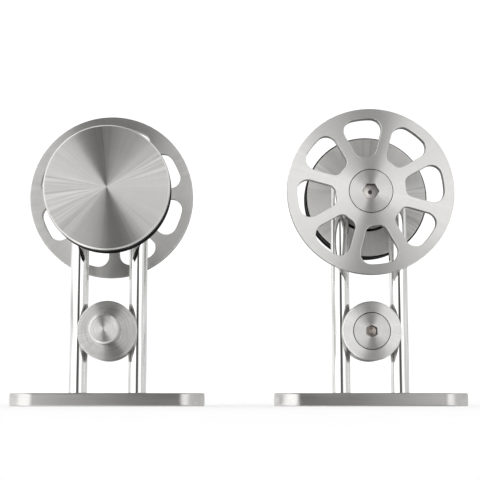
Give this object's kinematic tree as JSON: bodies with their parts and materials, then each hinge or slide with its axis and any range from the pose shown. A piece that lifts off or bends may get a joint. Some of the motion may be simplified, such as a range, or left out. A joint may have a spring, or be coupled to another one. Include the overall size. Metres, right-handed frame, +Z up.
{
  "type": "sliding barn door hanger pair",
  "caption": "Pair of top-mounted sliding door hangers: spoked wheel and grooved roller on one axle, held by twin rods on a base plate with a clamp carrying an anti-jump stud.",
  "frame": {"origin": "on the surface the base plates rest on, midway between the two hangers", "axes": "+X from the left hanger to the right one, along the rail; +Y across the rail; +Z up"},
  "size_m": [0.25, 0.058, 0.163],
  "materials": {
    "brushed_steel": "long-grain brushed stainless",
    "polished_steel": "bright polished stainless bar",
    "screw_steel": "turned stainless, fine",
    "satin_steel": "satin stainless, light circular grain",
    "turned_steel": "face-turned stainless, concentric grain",
    "bearing_steel": "ground bearing steel",
    "brass": "plain",
    "black_nylon": "machined black nylon",
    "black_rubber": "moulded rubber seal"
  },
  "bodies": {
    "left_stand": {"left_base_plate": "brushed_steel", "left_rod_a": "polished_steel", "left_rod_b": "polished_steel", "left_rod_screw_a": "screw_steel", "left_rod_screw_b": "screw_steel", "left_hub_block": "satin_steel", "left_front_bearing_outer_ring": "bearing_steel", "left_rear_bearing_outer_ring": "bearing_steel"},
    "left_wheel": {"left_front_bearing_inner_ring": "bearing_steel", "left_rear_bearing_inner_ring": "bearing_steel", "left_spoked_wheel": "satin_steel", "left_axle_screw": "screw_steel", "left_front_spacer": "screw_steel", "left_spacer_tube": "screw_steel", "left_rear_spacer": "screw_steel", "left_roller_front_disc": "turned_steel", "left_dust_shield": "black_rubber", "left_roller_front_flange": "black_nylon", "left_roller_tread": "black_nylon", "left_roller_rear_flange": "black_nylon", "left_rear_cap": "turned_steel"},
    "left_ball_cages": {"left_front_bearing_cage": "brass", "left_rear_bearing_cage": "brass"},
    "left_clamp": {"left_clamp_front_disc": "turned_steel", "left_clamp_rear_disc": "turned_steel", "left_clamp_screw": "screw_steel", "left_anti_jump_stud": "turned_steel"},
    "right_stand": {"right_base_plate": "brushed_steel", "right_rod_a": "polished_steel", "right_rod_b": "polished_steel", "right_rod_screw_a": "screw_steel", "right_rod_screw_b": "screw_steel", "right_hub_block": "satin_steel", "right_front_bearing_outer_ring": "bearing_steel", "right_rear_bearing_outer_ring": "bearing_steel"},
    "right_wheel": {"right_front_bearing_inner_ring": "bearing_steel", "right_rear_bearing_inner_ring": "bearing_steel", "right_spoked_wheel": "satin_steel", "right_axle_screw": "screw_steel", "right_front_spacer": "screw_steel", "right_spacer_tube": "screw_steel", "right_rear_spacer": "screw_steel", "right_roller_front_disc": "turned_steel", "right_dust_shield": "black_rubber", "right_roller_front_flange": "black_nylon", "right_roller_tread": "black_nylon", "right_roller_rear_flange": "black_nylon", "right_rear_cap": "turned_steel"},
    "right_ball_cages": {"right_front_bearing_cage": "brass", "right_rear_bearing_cage": "brass"},
    "right_clamp": {"right_clamp_front_disc": "turned_steel", "right_clamp_rear_disc": "turned_steel", "right_clamp_screw": "screw_steel", "right_anti_jump_stud": "turned_steel"}
  },
  "joints": [
    {"name": "hanger_spacing", "type": "slide", "parent": "left_stand", "child": "right_stand", "axis": [1, 0, 0], "range_m": [0, 0.6]},
    {"name": "left_wheel_spin", "type": "hinge", "parent": "left_stand", "child": "left_wheel", "pos_m": [-0.072, 0, 0.117], "axis": [0, 1, 0], "continuous": true},
    {"name": "left_ball_cage_spin", "type": "hinge", "parent": "left_stand", "child": "left_ball_cages", "pos_m": [-0.072, 0, 0.117], "axis": [0, 1, 0], "continuous": true},
    {"name": "left_clamp_height", "type": "slide", "parent": "left_stand", "child": "left_clamp", "axis": [0, 0, 1], "range_m": [-0.01, 0.01]},
    {"name": "right_wheel_spin", "type": "hinge", "parent": "right_stand", "child": "right_wheel", "pos_m": [0.072, 0, 0.117], "axis": [0, 1, 0], "continuous": true},
    {"name": "right_ball_cage_spin", "type": "hinge", "parent": "right_stand", "child": "right_ball_cages", "pos_m": [0.072, 0, 0.117], "axis": [0, 1, 0], "continuous": true},
    {"name": "right_clamp_height", "type": "slide", "parent": "right_stand", "child": "right_clamp", "axis": [0, 0, 1], "range_m": [-0.01, 0.01]}
  ],
  "couplings": [
    {"joint": "left_ball_cage_spin", "follows": "left_wheel_spin", "ratio": 0.43},
    {"joint": "right_ball_cage_spin", "follows": "right_wheel_spin", "ratio": 0.43}
  ]
}
